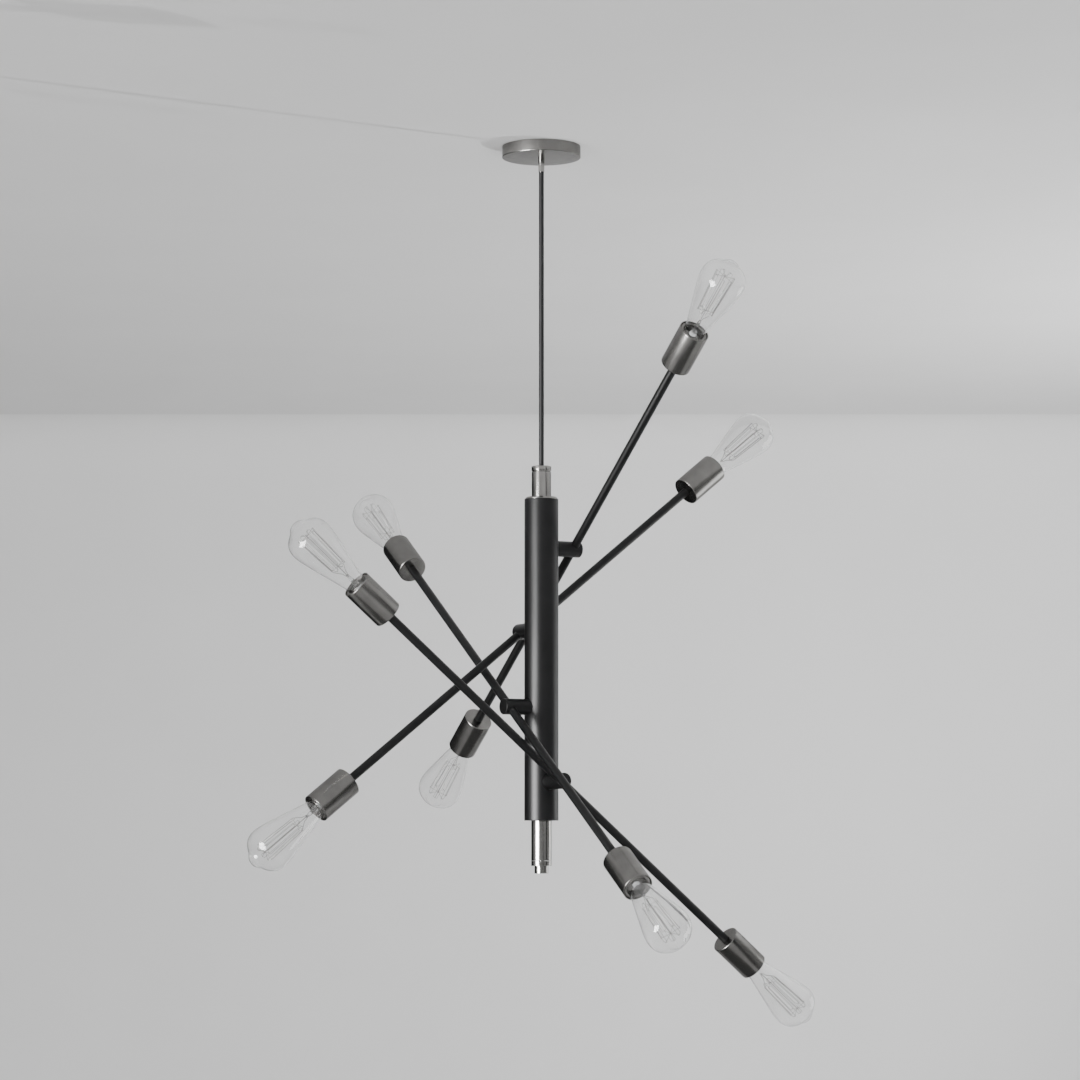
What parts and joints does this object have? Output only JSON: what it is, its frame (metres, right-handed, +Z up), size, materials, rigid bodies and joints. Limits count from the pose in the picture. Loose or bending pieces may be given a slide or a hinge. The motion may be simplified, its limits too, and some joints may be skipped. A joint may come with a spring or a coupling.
{
  "type": "multi arm chandelier",
  "caption": "Ceiling pendant light: a black tube hung on a cord, with pivoting crossed rods that carry a clear lamp in a metal cup at each end.",
  "frame": {"origin": "centre of the canopy's upper rim, in the plane of the ceiling", "axes": "+Z up along the tube's axis, away from the room; +X along the hub of the topmost arm; the other hubs follow at quarter turns going down"},
  "size_m": [0.8548, 0.8608, 1.2518],
  "materials": {
    "black_metal": "satin black powder coat",
    "satin_nickel": "satin nickel plate",
    "polished_nickel": "polished nickel plate",
    "zinc_steel": "zinc plated steel",
    "black_cord": "smooth black jacket",
    "black_rubber": "matt",
    "lamp_nickel": "nickel plated",
    "clear_glass": "clear",
    "white_plastic": "moulded"
  },
  "bodies": {
    "stem": {"canopy": "satin_nickel", "mounting_strap": "zinc_steel", "canopy_screw_1": "satin_nickel", "canopy_screw_2": "satin_nickel", "cord_grip": "polished_nickel", "terminal_block": "white_plastic", "cord": "black_cord", "neck_collar": "polished_nickel", "cord_gland": "black_rubber", "neck_sleeve": "polished_nickel", "top_cap": "polished_nickel", "tube": "black_metal", "core_bar": "zinc_steel", "bottom_plug": "black_metal", "finial": "polished_nickel", "finial_tip": "polished_nickel"},
    "arm_1": {"hub_1": "black_metal", "pivot_bolt_1": "zinc_steel", "rod_1": "black_metal", "cup_1_upper": "satin_nickel", "lamp_holder_1_upper": "satin_nickel", "lamp_cap_1_upper": "lamp_nickel", "lamp_glass_1_upper": "clear_glass", "cup_1_lower": "satin_nickel", "lamp_holder_1_lower": "satin_nickel", "lamp_cap_1_lower": "lamp_nickel", "lamp_glass_1_lower": "clear_glass"},
    "arm_2": {"hub_2": "black_metal", "pivot_bolt_2": "zinc_steel", "rod_2": "black_metal", "cup_2_upper": "satin_nickel", "lamp_holder_2_upper": "satin_nickel", "lamp_cap_2_upper": "lamp_nickel", "lamp_glass_2_upper": "clear_glass", "cup_2_lower": "satin_nickel", "lamp_holder_2_lower": "satin_nickel", "lamp_cap_2_lower": "lamp_nickel", "lamp_glass_2_lower": "clear_glass"},
    "arm_3": {"hub_3": "black_metal", "pivot_bolt_3": "zinc_steel", "rod_3": "black_metal", "cup_3_upper": "satin_nickel", "lamp_holder_3_upper": "satin_nickel", "lamp_cap_3_upper": "lamp_nickel", "lamp_glass_3_upper": "clear_glass", "cup_3_lower": "satin_nickel", "lamp_holder_3_lower": "satin_nickel", "lamp_cap_3_lower": "lamp_nickel", "lamp_glass_3_lower": "clear_glass"},
    "arm_4": {"hub_4": "black_metal", "pivot_bolt_4": "zinc_steel", "rod_4": "black_metal", "cup_4_upper": "satin_nickel", "lamp_holder_4_upper": "satin_nickel", "lamp_cap_4_upper": "lamp_nickel", "lamp_glass_4_upper": "clear_glass", "cup_4_lower": "satin_nickel", "lamp_holder_4_lower": "satin_nickel", "lamp_cap_4_lower": "lamp_nickel", "lamp_glass_4_lower": "clear_glass"}
  },
  "joints": [
    {"name": "arm_1_pivot", "type": "hinge", "parent": "stem", "child": "arm_1", "pos_m": [0.052, 0, -0.5748], "axis": [1, 0, 0], "range_deg": [-2, 80]},
    {"name": "arm_2_pivot", "type": "hinge", "parent": "stem", "child": "arm_2", "pos_m": [0, 0.052, -0.6903], "axis": [0, 1, 0], "range_deg": [-2, 78]},
    {"name": "arm_3_pivot", "type": "hinge", "parent": "stem", "child": "arm_3", "pos_m": [-0.052, 0, -0.8002], "axis": [-1, 0, 0], "range_deg": [-1, 76]},
    {"name": "arm_4_pivot", "type": "hinge", "parent": "stem", "child": "arm_4", "pos_m": [0, -0.052, -0.9044], "axis": [0, -1, 0], "range_deg": [-1, 78]}
  ]
}
